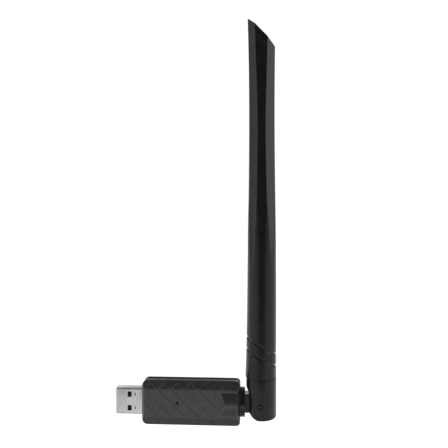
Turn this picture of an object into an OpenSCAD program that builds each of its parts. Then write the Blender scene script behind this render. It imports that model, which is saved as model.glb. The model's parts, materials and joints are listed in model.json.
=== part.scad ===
// USB Wi-Fi adapter with a folding and swivelling antenna.
//
// Frame: X runs along the body from the plug to the antenna end, Z runs up along
// the antenna, and the indicator side of the body faces -Y. The origin is the
// middle of the face that the plug stands out of.

/* [USB plug] */
// Width of the plug's metal shell
plug_w = 12.0; // [11.8:0.1:12.2]
// Thickness of the plug's metal shell
plug_t = 4.5; // [4.3:0.1:4.7]
// How far the plug stands out of the body
plug_len = 12.4; // [11.6:0.1:13]
// Wall of the plug's metal shell
shell_wall = 0.3; // [0.25:0.05:0.35]

/* [Body] */
// Length of the body
body_len = 45; // [45:0.5:52]
// Width of the body across its bevels
body_w = 20.4; // [19.6:0.2:22]
// Thickness between the two main faces
body_t = 8.6; // [8.4:0.1:9.2]
// Wall of both covers
wall = 1.1; // [0.9:0.1:1.2]
// Radius of the body's four corners
corner_r = 2.7; // [2:0.1:3.2]
// Width of each long bevel, seen from the front
bevel_w = 3.6; // [3:0.1:3.8]
// Depth of the front cover's long bevels
bevel_d = 1.2; // [1:0.1:2.2]
// Depth of the back cover's long bevels
back_bevel_d = 2.0; // [1.4:0.1:2.2]
// Radius of the hump that holds the swivel
hump_r = 6.45; // [6.3:0.05:6.8]

/* [Swivel neck] */
// Radius of the visible collar
collar_r = 6.6; // [6.3:0.05:6.8]
// Radius of the journal that turns in the covers
journal_r = 4.0; // [3.8:0.1:4.2]
// Radial running clearance of the journal
journal_gap = 0.05; // [0.02:0.01:0.08]
// Half height of the hinge tongue
tongue_r = 4.2; // [4:0.1:4.7]
// Thickness of the hinge tongue
tongue_t = 5.8; // [5.4:0.1:5.8]

/* [Antenna] */
// Distance of the fold pin from the collar
pin_reach = 7.0; // [7:0.1:8]
// Radius of the fold pins
pin_r = 1.25; // [1:0.05:1.4]
// Radius of the round hinge knuckle
knuckle_r = 6.65; // [6.5:0.05:6.8]
// Height of the knuckle above the fold pin
knuckle_h = 11.7; // [10.5:0.1:13]
// Height of the antenna's tip above the fold pin
tip_h = 176.2; // [165:0.2:190]
// Radius of the sleeve at its foot
sleeve_foot_r = 6.8; // [6.7:0.05:7]
// Radius of the sleeve at its waist
sleeve_waist_r = 5.8; // [5.7:0.05:6]
// Thickness of the blade at its tip
blade_t = 6.8; // [6.4:0.1:7.6]

/* [Hidden] */
$fn = 64;
eps = 0.01;

// Plug
shell_tail = 6.0;
shell_corner = 0.6;
window_l = 1.9;
window_h = 2.5;
window_x = -6.0;
window_z = 3.15;
slit_x = -3.4;
slit_half = 0.25;
slit_z = [-0.6, 0.9];
tab_x = [2.6, 4.8];
tab_w = 2.0;
tab_z = plug_w / 2 + 0.8;
contact_z = [-3.5, -1, 1, 3.5];
contact_w = 1.0;
contact_t = 0.2;
tongue_len = 11.6;
corner_cut = 0.4;

// Body
half_w = body_w / 2;
half_t = body_t / 2;
flat_w = half_w - bevel_w;
end_bevel = 1.0;
parting_y = -0.6;
lip_t = 0.5;
lip_h = 0.8;
plug_gap = 0.05;
rear_wall = 1.6;
seat_depth = 0.4;
rear_x = body_len - seat_depth;
bearing_x = rear_x - rear_wall;
hump_foot_x = body_len - 10.5;
hump_top_x = body_len - 7.3;
hump_end_x = body_len - 0.6;
post_x = [12, body_len - 8.5];
post_z = half_w - 3.0;
post_r = 0.8;
socket_r = 1.6;

// Board and the parts on it
board_front = 0.2;
board_t = 0.8;
board_back = board_front + board_t;
board_x = [1.6, body_len - 6.4];
board_half_w = half_w - 1.6;
led_x = 16.5;
window_d = 1.9;
can_x = [19.5, 33.3];
can_half = 6.2;
can_h = 1.7;
can_wall = 0.2;

// Aerial lead
coax_r = 0.7;
core_r = 0.15;
elbow_r = coax_r + 0.03;
lead_x = [body_len - 9.6, body_len - 8.4];
lead_end = bearing_x - 1.8;

// Swivel
flange_r = 5.1;
flange_x = [bearing_x - 1.3, bearing_x - 0.1];
ring_x = bearing_x + 0.8;
ring_wire = 0.5;
collar_x = [body_len - 0.3, body_len + 2.0];
collar_edge = 0.4;
stop_half = 0.45;
stop_r = [3.4, 4.8];
stop_t = 0.6;
cable_r = 1.0;

// Hinge
pin_x = collar_x[1] + pin_reach;
slot_half = tongue_t / 2 + 0.1;
slot_r = tongue_r + 0.3;
ear_r = 6.45;
ear_flat = 4.7;
pin_in = 1.3;
pin_out = 6.3;
pin_play = 0.05;
bend_r = 3.0;
coax_slot = 1.1;

// Antenna
axis_x = pin_x + 0.6;
knuckle_corner = 1.0;
spigot_r = 5.3;
spigot_h = 6.0;
sleeve_z0 = knuckle_h + 0.1;
sleeve_wall = 1.1;
waist_z = 130;
tip_r = sleeve_waist_r + 0.35;
tip_drop = 12.9;
facet_turn = 45;
facet_z = [75, tip_h];
face_d = [6.18, blade_t / 2];
side_d = [6.18, 3.49];
side_floor = 4.74;
groove_z = [26.4, 21.1];
groove_tilt = 30;
groove_w = 1.2;
groove_floor_r = 6.3;
strip_z = [22, 158];
strip_w = 6.8;
strip_t = 0.8;
copper_t = 0.1;
lay_z = [17.9, 22];
feed_z = 31;
pad_z = [60, 136];
pad_h = 10;

// ---------- Helpers ----------

// A flat shape drawn in (y, z), carried along X from x0 to x1
module along_x(x0, x1) {
    translate([x0, 0, 0])
        rotate([90, 0, 90])
            linear_extrude(x1 - x0)
                children();
}

// A flat shape drawn in (x, z), carried along Y from y0 to y1
module along_y(y0, y1) {
    translate([0, y1, 0])
        rotate([90, 0, 0])
            linear_extrude(y1 - y0)
                children();
}

// A round bar along X
module rod_x(r, x0, x1, y = 0, z = 0) {
    translate([x0, y, z])
        rotate([0, 90, 0])
            cylinder(r = r, h = x1 - x0);
}

// A round bar along Y
module rod_y(r, y0, y1, x = 0, z = 0) {
    translate([x, y1, z])
        rotate([90, 0, 0])
            cylinder(r = r, h = y1 - y0);
}

// A block from its lowest corner to its highest
module block(low, high) {
    translate(low)
        cube(high - low);
}

module rounded_rect(l, w, r) {
    translate([r, 0])
        square([l - 2 * r, w]);
    translate([0, r])
        square([l, w - 2 * r]);
    for (x = [r, l - r], y = [r, w - r])
        translate([x, y])
            circle(r = r);
}

// ---------- Body shape ----------

// Outline of the body in (x, z), drawn in by an inset
module body_outline(inset = 0) {
    translate([inset, -half_w + inset])
        rounded_rect(body_len - 2 * inset, body_w - 2 * inset, corner_r - 0.8 * inset);
}

// Half width of the main face beside a bevel of depth d, drawn in by an inset
function face_half(d, inset) = flat_w - inset * (norm([bevel_w, d]) - bevel_w) / d;

// Half thickness of the side band beside the same bevel
function band_half(d, inset) = half_t - d - inset * (norm([bevel_w, d]) - d) / bevel_w;

// Cross-section of the body in (y, z): two main faces, four bevels, two side bands
module body_section(inset = 0) {
    t = half_t - inset;
    w = half_w - inset;
    front_face = face_half(bevel_d, inset);
    front_band = band_half(bevel_d, inset);
    back_face = face_half(back_bevel_d, inset);
    back_band = band_half(back_bevel_d, inset);
    polygon([[-t, -front_face], [-front_band, -w], [back_band, -w], [t, -back_face],
             [t, back_face], [back_band, w], [-front_band, w], [-t, front_face]]);
}

// Side view of the body in (x, y) with its small end bevels
module body_side(inset = 0) {
    c = end_bevel - 0.6 * inset;
    t = half_t - inset;
    x0 = inset;
    x1 = body_len - inset;
    polygon([[x0, -t + c], [x0 + c, -t], [x1 - c, -t], [x1, -t + c],
             [x1, t - c], [x1 - c, t], [x0 + c, t], [x0, t - c]]);
}

module body_blank(inset = 0) {
    intersection() {
        along_y(-half_t, half_t) body_outline(inset);
        along_x(-1, body_len + 1) body_section(inset);
        translate([0, 0, -half_w]) linear_extrude(body_w) body_side(inset);
    }
}

// The round hump over the swivel, with a ramp at its foot and a bevelled end
module hump_blank() {
    foot_r = half_t - 0.2;
    translate([hump_foot_x, 0, 0])
        rotate([0, 90, 0])
            cylinder(r1 = foot_r, r2 = hump_r, h = hump_top_x - hump_foot_x);
    rod_x(hump_r, hump_top_x - eps, hump_end_x - 0.5);
    translate([hump_end_x - 0.5 - eps, 0, 0])
        rotate([0, 90, 0])
            cylinder(r1 = hump_r, r2 = hump_r - 0.4, h = 0.5);
}

// Everything that is hollow inside the closed body
module body_hollow() {
    intersection() {
        body_blank(wall);
        block([wall + 0.1, -half_t, -half_w], [bearing_x, half_t, half_w]);
    }
    rod_x(hump_r - wall, hump_top_x + 0.2, bearing_x);
}

// Openings through the covers' ends: the plug's slot, the journal's bore, the collar's seat
module body_openings() {
    along_x(-1, wall + 1)
        translate([-plug_t / 2 - plug_gap, -plug_w / 2 - plug_gap])
            rounded_rect(plug_t + 2 * plug_gap, plug_w + 2 * plug_gap, shell_corner);
    rod_x(journal_r + journal_gap, bearing_x - 1, body_len + 1);
    rod_x(collar_r + 0.2, rear_x, body_len + 1);
}

module half_space(front) {
    low = front ? -20 : parting_y;
    high = front ? parting_y : 20;
    block([-1, low, -20], [body_len + 2, high, 20]);
}

module cover_lip(gap = 0) {
    intersection() {
        along_y(parting_y - 1.0 - gap, parting_y + lip_h + gap)
            difference() {
                body_outline(wall - lip_t - gap);
                body_outline(wall);
            }
        block([corner_r, -5, -half_w], [body_len - corner_r, 5, half_w]);
        union() {
            block([corner_r, -5, half_w - 2], [body_len - corner_r, 5, half_w]);
            block([corner_r, -5, -half_w], [body_len - corner_r, 5, -half_w + 2]);
        }
    }
}

// Four round stands that hold the board, ending inside the cover's wall
module board_stand(y0, y1) {
    intersection() {
        body_blank(wall / 2);
        union()
            for (x = post_x, z = [-post_z, post_z])
                rod_y(socket_r, y0, y1, x, z);
    }
}

// ---------- Housing ----------

module front_cover() color("#434343") {
    difference() {
        union() {
            difference() {
                intersection() {
                    union() {
                        body_blank();
                        hump_blank();
                    }
                    half_space(true);
                }
                body_hollow();
            }
            cover_lip();
            board_stand(-half_t, board_front);
        }
        body_openings();
        for (x = post_x, z = [-post_z, post_z])
            rod_y(post_r + 0.05, -2, board_front + 1, x, z);
        indicator_hole();
    }
}

// The diamond hole for the indicator window
module indicator_hole() {
    s = (window_d + 0.06) / sqrt(2);
    along_y(-half_t - 1, 0)
        translate([led_x, 0])
            rotate(45)
                square(s, center = true);
}

module back_cover() color("#1c1c1c") {
    difference() {
        union() {
            difference() {
                intersection() {
                    union() {
                        body_blank();
                        hump_blank();
                    }
                    half_space(false);
                }
                body_hollow();
                cover_lip(0.05);
            }
            board_stand(board_back, half_t);
            for (x = post_x, z = [-post_z, post_z])
                rod_y(post_r, -1.6, board_back + 0.5, x, z);
            stop_rib();
        }
        body_openings();
    }
}

// The rib that the neck's stop tab meets
module stop_rib() {
    block([flange_x[0] - stop_t, stop_r[0], -stop_half],
          [flange_x[0] - 0.1, hump_r - 0.5, stop_half]);
}

module indicator_window() color("#2e2e2e") {
    s = window_d / sqrt(2);
    along_y(-half_t, -0.5)
        translate([led_x, 0])
            rotate(45)
                square(s, center = true);
    along_y(-half_t + wall + 0.02, -half_t + wall + 0.5)
        translate([led_x, 0])
            rotate(45)
                square(s + 1, center = true);
}

// ---------- Plug ----------

// The shell's cross-section in (y, z), drawn in by an inset
module shell_section(inset = 0) {
    translate([-plug_t / 2 + inset, -plug_w / 2 + inset])
        rounded_rect(plug_t - 2 * inset, plug_w - 2 * inset, shell_corner - 0.8 * inset);
}

module usb_shell() color("#b4b4b4") {
    difference() {
        union() {
            along_x(-plug_len, shell_tail)
                difference() {
                    shell_section();
                    shell_section(shell_wall);
                }
            for (s = [-1, 1])
                block([tab_x[0], board_front - shell_wall, s * tab_z - tab_w / 2],
                      [tab_x[1], board_front, s * tab_z + tab_w / 2]);
        }
        for (z = [-window_z, window_z]) {
            block([window_x - window_l / 2, -5, z - window_h / 2],
                  [window_x + window_l / 2, 5, z + window_h / 2]);
            block([slit_x - slit_half, -5, z + slit_z[0]], [slit_x + slit_half, 0, z + slit_z[1]]);
        }
        along_x(2, 5)
            shell_section(shell_wall);
    }
}

// One contact with its tail, as a flat strip on the tongue's open face
module contact_strip(z, grow = 0) {
    block([-tongue_len + 0.4, -grow, z - contact_w / 2 - grow],
          [shell_tail + 1.8, contact_t + grow, z + contact_w / 2 + grow]);
}

module usb_contacts() color("#c9a24a") {
    for (z = contact_z)
        contact_strip(z);
}

module usb_insulator() color("#101010") {
    h = plug_t / 2 - shell_wall - 0.03;
    w = plug_w / 2 - shell_wall - 0.03;
    difference() {
        union() {
            block([-tongue_len, -h, -w], [0.5, 0, w]);
            block([0, -h, -w], [shell_tail, h, w]);
        }
        for (z = contact_z)
            contact_strip(z, 0.01);
        for (y = [-h, h], z = [-w, w])
            translate([0, y, z])
                rotate([45, 0, 0])
                    cube([60, corner_cut, corner_cut], center = true);
    }
}

// ---------- Board ----------

module circuit_board() color("#1d4a2a") {
    notch = plug_w / 2 + 0.1;
    difference() {
        block([board_x[0], board_front, -board_half_w], [board_x[1], board_back, board_half_w]);
        block([board_x[0] - 1, -1, -notch], [shell_tail + 0.2, 3, notch]);
        block([lead_x[1] - 0.1, -1, -coax_r - 0.05], [board_x[1] + 1, 3, coax_r + 0.05]);
        for (x = post_x, z = [-post_z, post_z])
            rod_y(post_r + 0.1, 0, 2, x, z);
    }
}

// A chip on the board's front face, by its middle, length, width and height
module front_chip(x, z, l, w, h) {
    block([x - l / 2, board_front - h, z - w / 2], [x + l / 2, board_front, z + w / 2]);
}

// A chip on the board's back face
module back_chip(x, z, l, w, h) {
    block([x - l / 2, board_back, z - w / 2], [x + l / 2, board_back + h, z + w / 2]);
}

module indicator_led() color("#d9d6c8") {
    front_chip(led_x, 0, 1.6, 0.8, 0.6);
}

module shield_can() color("#a9abad") {
    difference() {
        block([can_x[0], board_front - can_h, -can_half], [can_x[1], board_front, can_half]);
        block([can_x[0] + can_wall, board_front - can_h + can_wall, -can_half + can_wall],
              [can_x[1] - can_wall, board_front + 1, can_half - can_wall]);
    }
}

module radio_chip() color("#17181a") {
    front_chip(24.6, 0, 8, 8, 0.9);
}

module front_end_chips() color("#17181a") {
    for (z = [-3.9, 0])
        front_chip(31.0, z, 3, 3, 0.75);
}

module crystal() color("#c3c3c0") {
    front_chip(31.0, 4.0, 2.5, 3.2, 0.7);
}

module memory_chip() color("#17181a") {
    back_chip(28, 0, 5, 4, 1.4);
}

module power_regulator() color("#17181a") {
    back_chip(19.5, 3.4, 2.9, 1.6, 1.1);
}

module power_inductor() color("#3c3f42") {
    back_chip(19, -1.2, 3, 3, 1.2);
}

module chip_capacitors() color("#b99a6b") {
    for (x = [10.4, 15.8, 17.8], z = [-5.2, -3.6, 3.6, 5.2])
        front_chip(x, z, 1, 0.5, 0.5);
    for (x = [22.2, 24], z = [-6, 6])
        back_chip(x, z, 1.6, 0.8, 0.8);
}

module chip_resistors() color("#22252a") {
    for (x = [13.6], z = [-3.6, -2.4, 2.4, 3.6])
        front_chip(x, z, 1, 0.5, 0.35);
    for (x = [14.6, 16], z = [-3, -1, 1, 3])
        back_chip(x, z, 1, 0.5, 0.35);
}

// ---------- Aerial lead ----------

module coax_lead() color("#2b2b2d") {
    rod_x(coax_r, lead_x[1], lead_end);
    rod_x(core_r, lead_x[0], lead_x[1] + 0.5, board_front - core_r, 0);
}

// The joint on the lead's core, and one each side of the lead on its screen
module lead_solder() color("#c7c9cb") {
    difference() {
        block([lead_x[0] - 0.3, board_front - 0.5, -0.4], [lead_x[0] + 0.7, board_front, 0.4]);
        rod_x(core_r + 0.005, lead_x[0], lead_x[1], board_front - core_r, 0);
    }
    for (s = [-1, 1])
        block([lead_x[1] + 0.3, board_front - 0.6, s * 1.15 - 0.4],
              [lead_x[1] + 1.6, board_front, s * 1.15 + 0.4]);
}

// ---------- Swivel neck ----------

module swivel_neck() color("#202020") {
    difference() {
        union() {
            rod_x(flange_r, flange_x[0], flange_x[1]);
            rod_x(journal_r, flange_x[1] - eps, collar_x[0] + eps);
            neck_collar();
            neck_tongue();
            block([flange_x[0] - stop_t, -stop_r[1], -stop_half],
                  [flange_x[0] + eps, -stop_r[0], stop_half]);
        }
        rod_x(cable_r, flange_x[0] - 1, pin_x - bend_r + 0.5);
        friction_groove();
        along_y(-coax_slot, coax_slot)
            translate([pin_x - bend_r - 0.6, -coax_slot])
                square([20, 20]);
        rod_y(pin_r + pin_play, -5, 5, pin_x, 0);
    }
}

module neck_collar() {
    rod_x(collar_r, collar_x[0] + collar_edge, collar_x[1] - collar_edge);
    for (side = [0, 1]) {
        r1 = side == 0 ? collar_r - collar_edge : collar_r;
        r2 = side == 0 ? collar_r : collar_r - collar_edge;
        x = side == 0 ? collar_x[0] : collar_x[1] - collar_edge;
        translate([x, 0, 0])
            rotate([0, 90, 0])
                cylinder(r1 = r1, r2 = r2, h = collar_edge);
    }
}

// The tongue between the knuckle's ears, round about the fold pin
module neck_tongue() {
    intersection() {
        along_y(-tongue_t / 2, tongue_t / 2) {
            translate([collar_x[1] - 0.5, -tongue_r])
                square([pin_x - collar_x[1] + 0.5, 2 * tongue_r]);
            translate([pin_x, 0])
                circle(r = tongue_r);
        }
        rod_x(tongue_r + 0.8, collar_x[1] - 1, pin_x + 10);
    }
}

module friction_groove() {
    difference() {
        rod_x(journal_r + 1, ring_x - 0.55, ring_x + 0.55);
        rod_x(journal_r - 2 * ring_wire - 0.02, ring_x - 1, ring_x + 1);
    }
}

module friction_ring() color("#0c0c0c") {
    translate([ring_x, 0, 0])
        rotate([0, 90, 0])
            rotate_extrude()
                translate([journal_r - ring_wire, 0])
                    circle(r = ring_wire, $fn = 32);
}

module neck_coax() color("#2b2b2d") {
    rod_x(coax_r, lead_end + 0.02, pin_x - bend_r);
}

// ---------- Hinge ----------

// Side view of the knuckle in (x, z), centred on the fold pin
module knuckle_outline() {
    back = axis_x - pin_x + knuckle_r;
    front = pin_x - axis_x + knuckle_r;
    c = knuckle_corner;
    intersection() {
        circle(r = ear_r);
        translate([-ear_flat, -ear_r])
            square([ear_flat + ear_r, ear_r + 1]);
    }
    difference() {
        translate([0, -ear_r])
            square([back, ear_r + knuckle_h]);
        translate([back - c, -ear_r - eps])
            square([c + 1, c + eps]);
    }
    translate([back - c, -ear_r + c])
        circle(r = c);
    polygon([[0, -1], [-ear_flat, -1], [-ear_flat, tongue_r], [-front, knuckle_h - 3.5],
             [-front, knuckle_h], [0, knuckle_h]]);
}

// The slot in which the tongue lies at every fold angle
module knuckle_slot() {
    circle(r = slot_r);
    translate([-10, -10])
        square([10, 10 + slot_r]);
    translate([-10, -10])
        square([10 + slot_r, 10]);
}

module hinge_knuckle() color("#242424") {
    difference() {
        union() {
            intersection() {
                translate([pin_x, 0, 0])
                    along_y(-8, 8)
                        knuckle_outline();
                translate([axis_x, 0, -10])
                    cylinder(r = knuckle_r, h = knuckle_h + 10);
            }
            translate([axis_x, 0, knuckle_h - 1])
                cylinder(r = spigot_r, h = spigot_h + 1);
        }
        translate([pin_x, 0, 0])
            along_y(-slot_half, slot_half)
                knuckle_slot();
        rod_y(pin_r, -10, 10, pin_x, 0);
        translate([pin_x, 0, 0])
            cylinder(r = cable_r, h = 30);
    }
}

module hinge_pins() color("#1a1a1a") {
    for (s = [-1, 1]) {
        low = s < 0 ? -pin_out : pin_in;
        high = s < 0 ? -pin_in : pin_out;
        rod_y(pin_r, low, high, pin_x, 0);
    }
}

// The lead across the hinge: a quarter turn at rest
module coax_bend() color("#2b2b2d") {
    translate([pin_x - bend_r, 0, bend_r])
        rotate([90, 0, 0])
            rotate([0, 0, -90])
                rotate_extrude(angle = 90)
                    translate([bend_r, 0])
                        circle(r = coax_r, $fn = 32);
}

// ---------- Antenna ----------

// Radius of the sleeve at height z: from the foot to the waist, then out to the tip
function sleeve_r(z) =
    z < waist_z
    ? sleeve_waist_r + (sleeve_foot_r - sleeve_waist_r) * pow((waist_z - z) / (waist_z - sleeve_z0), 1.25)
    : sleeve_waist_r + (tip_r - sleeve_waist_r) * pow((z - waist_z) / (tip_h - waist_z), 2);

// The space in front of a leaning plane: turned about Z, at distance d0 low and d1 high
module beyond_plane(turn, d0, d1) {
    h = facet_z[1] - facet_z[0];
    lean = atan((d0 - d1) / h);
    rotate([0, 0, turn])
        translate([0, -d0, facet_z[0]])
            rotate([-lean, 0, 0])
                block([-20, -30, -60], [20, 0, 220]);
}

// The sleeve's outer or inner form, drawn in by an inset
module blade(inset, z0) {
    steps = 24;
    top = tip_h + 1;
    zs = [for (i = [0 : steps]) z0 + (top - z0) * i / steps];
    intersection() {
        difference() {
            translate([axis_x, 0, 0])
                rotate_extrude()
                    polygon(concat([[0, z0]], [for (z = zs) [sleeve_r(z) - inset, z]], [[0, top]]));
            for (side = [0, 180]) {
                translate([axis_x, 0, 0])
                    beyond_plane(side, face_d[0] - inset, face_d[1] - inset);
                for (t = [-facet_turn, facet_turn])
                    translate([axis_x, 0, 0])
                        intersection() {
                            beyond_plane(side + t, side_d[0] - inset, side_d[1] - inset);
                            beyond_plane(side + t, side_floor - inset, side_floor - inset);
                        }
            }
        }
        tip_cut(inset);
    }
}

// Everything under the tip's slanted face
module tip_cut(inset) {
    slope = tip_drop / (2 * tip_r);
    drop = inset * norm([1, slope]);
    along_y(-10, 10)
        polygon([[axis_x - 10, -10], [axis_x + 10, -10],
                 [axis_x + 10, tip_h - drop - (tip_r + 10) * slope],
                 [axis_x - 10, tip_h - drop + (10 - tip_r) * slope]]);
}

// A shallow ring cut into the sleeve, in a plane that leans across it
module oblique_groove(z) {
    translate([axis_x, 0, 0])
        difference() {
            translate([0, 0, z])
                rotate([0, groove_tilt, 0])
                    cylinder(r = 12, h = groove_w, center = true);
            cylinder(r = groove_floor_r, h = 2 * z);
        }
}

module antenna_sleeve() color("#1e1e1e") {
    difference() {
        blade(0, sleeve_z0);
        blade(sleeve_wall, sleeve_z0 - 1);
        translate([axis_x, 0, 0])
            cylinder(r = spigot_r + 0.05, h = knuckle_h + spigot_h + 0.4);
        for (z = groove_z)
            oblique_groove(z);
    }
}

module antenna_board() color("#c8b27a") {
    block([axis_x - strip_w / 2, -strip_t / 2, strip_z[0]],
          [axis_x + strip_w / 2, strip_t / 2, strip_z[1]]);
}

// A copper run on the strip's front face, from x0 to x1 and z0 to z1 about its middle
module copper_run(x0, x1, z0, z1) {
    block([axis_x + x0, -strip_t / 2 - copper_t, z0], [axis_x + x1, -strip_t / 2, z1]);
}

// Two arms each side of the feed, and the long radiator with its phasing bend
module antenna_traces() color("#b87333") {
    line = 0.6;
    arm = 2.9;
    bend = 2.4;
    for (x = [-arm, arm - 1])
        copper_run(x, x + 1, 26, 52);
    copper_run(-arm, arm, 24, 26);
    copper_run(-line, line, feed_z + 2.6, 96);
    copper_run(-bend, bend, 96, 98);
    copper_run(-bend, -bend + 1, 98, 112);
    copper_run(-bend, bend, 112, 114);
    copper_run(-line, line, 114, 154);
}

module antenna_coax() color("#2b2b2d") {
    lay_y = -strip_t / 2 - copper_t - coax_r;
    a = [0, 0, bend_r];
    b = [0, 0, lay_z[0]];
    c = [0, lay_y, lay_z[1]];
    d = [0, lay_y, feed_z];
    tilt = atan2(-lay_y, c[2] - b[2]);
    translate([pin_x, 0, 0]) {
        translate(a)
            cylinder(r = coax_r, h = b[2] - a[2]);
        translate(b)
            rotate([tilt, 0, 0])
                cylinder(r = coax_r, h = norm(c - b));
        translate(c)
            cylinder(r = coax_r, h = d[2] - c[2]);
        for (p = [b, c])
            translate(p)
                sphere(r = elbow_r);
    }
}

module feed_solder() color("#c7c9cb") {
    y = -strip_t / 2 - copper_t;
    block([pin_x - 0.6, y - 0.6, feed_z + 0.05], [pin_x + 0.8, y, feed_z + 2.6]);
    for (s = [-1, 1])
        block([pin_x + s * 1.1 - 0.35, y - 0.7, 24.2], [pin_x + s * 1.1 + 0.35, y, 25.8]);
}

// Foam round the strip, broad beside it and tall over its middle
module foam_pads() color("#55565a") {
    for (z = pad_z)
        difference() {
            union() {
                block([axis_x - 3.9, -1.1, z], [axis_x + 3.9, 1.1, z + pad_h]);
                block([axis_x - 2.2, -2.8, z], [axis_x + 2.2, 2.8, z + pad_h]);
            }
            block([axis_x - strip_w / 2 - 0.02, -strip_t / 2 - copper_t - 0.02, z - 1],
                  [axis_x + strip_w / 2 + 0.02, strip_t / 2 + 0.02, z + pad_h + 1]);
        }
}

front_cover();
back_cover();
indicator_window();
usb_shell();
usb_insulator();
usb_contacts();
circuit_board();
indicator_led();
shield_can();
radio_chip();
front_end_chips();
crystal();
memory_chip();
power_regulator();
power_inductor();
chip_capacitors();
chip_resistors();
coax_lead();
lead_solder();
swivel_neck();
friction_ring();
neck_coax();
hinge_knuckle();
hinge_pins();
coax_bend();
antenna_sleeve();
antenna_board();
antenna_traces();
antenna_coax();
feed_solder();
foam_pads();
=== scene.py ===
# %% [markdown]
# # A USB Wi-Fi adapter with a folding antenna
# The adapter has a steel plug, a two-part moulded body with a lattice of fine raised
# lines, a collar that swivels, a fold hinge and a long blade antenna. Every visible
# shell below is a surface worked out with numpy: a grid of two parameters, or a profile
# carried along a path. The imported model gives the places, and the looks are made here.

# %% Load the frame
import json
import math

import bmesh
import bpy
import numpy as np
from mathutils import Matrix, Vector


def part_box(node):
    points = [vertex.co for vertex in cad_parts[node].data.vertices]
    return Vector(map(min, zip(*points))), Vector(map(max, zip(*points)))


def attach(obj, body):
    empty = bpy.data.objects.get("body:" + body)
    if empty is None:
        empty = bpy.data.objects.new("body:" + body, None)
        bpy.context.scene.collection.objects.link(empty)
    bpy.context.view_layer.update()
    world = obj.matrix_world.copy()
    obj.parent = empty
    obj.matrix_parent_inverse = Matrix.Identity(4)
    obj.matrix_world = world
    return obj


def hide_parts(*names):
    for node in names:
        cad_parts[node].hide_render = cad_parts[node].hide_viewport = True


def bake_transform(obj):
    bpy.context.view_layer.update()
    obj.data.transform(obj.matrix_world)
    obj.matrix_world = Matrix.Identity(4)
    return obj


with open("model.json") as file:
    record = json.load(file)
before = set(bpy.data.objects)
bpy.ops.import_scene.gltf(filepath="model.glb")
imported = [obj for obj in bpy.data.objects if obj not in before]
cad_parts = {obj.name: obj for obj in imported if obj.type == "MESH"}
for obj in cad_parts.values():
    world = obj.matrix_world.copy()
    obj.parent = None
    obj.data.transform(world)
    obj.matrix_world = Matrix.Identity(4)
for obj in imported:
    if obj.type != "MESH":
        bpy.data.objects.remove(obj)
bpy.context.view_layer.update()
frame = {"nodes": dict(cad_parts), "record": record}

MM = 0.001


def cad_box(node):
    """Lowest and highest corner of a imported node, in millimetres."""
    low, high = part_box(node)
    return np.array(low) / MM, np.array(high) / MM


# %% [markdown]
# ## From arrays to meshes
# A surface is an array of points with rows and columns. Two neighbouring rows and two
# neighbouring columns make a quad, so the faces come from index arithmetic on whole
# arrays. A ring of columns closes round, and rows that shrink to a point are welded
# into a pole, which leaves one closed skin. Faces are then turned to point outwards,
# and edges sharper than a set angle stay crisp while the rest shade smoothly.


# %% Mesh helpers
WELD = 2e-6
CREASE = 32.0


def grid_quads(rows, cols, ring=False, first=0):
    """Quads of a grid whose point (i, j) has the index first + i * cols + j."""
    i = np.arange(rows - 1)[:, None]
    j = np.arange(cols if ring else cols - 1)[None, :]
    k = (j + 1) % cols
    a = i * cols + j
    b = i * cols + k
    c = (i + 1) * cols + k
    d = (i + 1) * cols + j
    return first + np.stack([a, b, c, d], axis=-1).reshape(-1, 4)


def new_piece(name, points, faces, sharp=CREASE):
    """Makes a closed mesh object from points in millimetres and index faces."""
    mesh = bpy.data.meshes.new(name)
    metres = (np.asarray(points, float) * MM).tolist()
    mesh.from_pydata(metres, [], [list(map(int, face)) for face in faces])
    piece = bpy.data.objects.new(name, mesh)
    bpy.context.scene.collection.objects.link(piece)
    tidy_mesh(piece, sharp)
    return piece


def tidy_mesh(piece, sharp=CREASE, weld=WELD):
    """Welds doubled points, drops flat faces, turns faces outwards and marks sharp edges."""
    bm = bmesh.new()
    bm.from_mesh(piece.data)
    if weld:
        bmesh.ops.remove_doubles(bm, verts=bm.verts, dist=weld)
        bmesh.ops.dissolve_degenerate(bm, edges=bm.edges, dist=weld / 2)
    bmesh.ops.recalc_face_normals(bm, faces=bm.faces)
    if bm.calc_volume(signed=True) < 0:
        bmesh.ops.reverse_faces(bm, faces=bm.faces)
    bm.to_mesh(piece.data)
    bm.free()
    shade(piece, sharp)


def shade(piece, sharp=CREASE):
    """Smooth shading, with edges sharper than the angle kept crisp."""
    mesh = piece.data
    mesh.polygons.foreach_set("use_smooth", np.ones(len(mesh.polygons), bool))
    mesh.set_sharp_from_angle(angle=math.radians(sharp))
    mesh.update()


def bake_modifiers(piece, sharp=CREASE, weld=WELD):
    """Turns a piece's modifiers into plain geometry."""
    deps = bpy.context.evaluated_depsgraph_get()
    mesh = bpy.data.meshes.new_from_object(piece.evaluated_get(deps))
    piece.modifiers.clear()
    old = piece.data
    piece.data = mesh
    mesh.name = piece.name
    bpy.data.meshes.remove(old)
    tidy_mesh(piece, sharp, weld)


def combine(piece, tool, operation):
    """Adds, cuts or keeps what a second closed solid covers, and removes that solid."""
    step = piece.modifiers.new("solid", "BOOLEAN")
    step.operation = operation
    step.solver = "EXACT"
    step.object = tool
    bake_modifiers(piece)
    bpy.data.objects.remove(tool)


def cut(piece, *tools):
    """Takes closed solids away from a piece, one after another."""
    for tool in tools:
        combine(piece, tool, "DIFFERENCE")


def round_edges(piece, width, segments=3, angle=30.0):
    """Rounds every edge sharper than the angle by a bevel of that width in millimetres."""
    step = piece.modifiers.new("edges", "BEVEL")
    step.width = width * MM
    step.segments = segments
    step.limit_method = "ANGLE"
    step.angle_limit = math.radians(angle)
    step.use_clamp_overlap = True
    step.miter_outer = "MITER_ARC"
    bake_modifiers(piece, weld=0)


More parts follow.
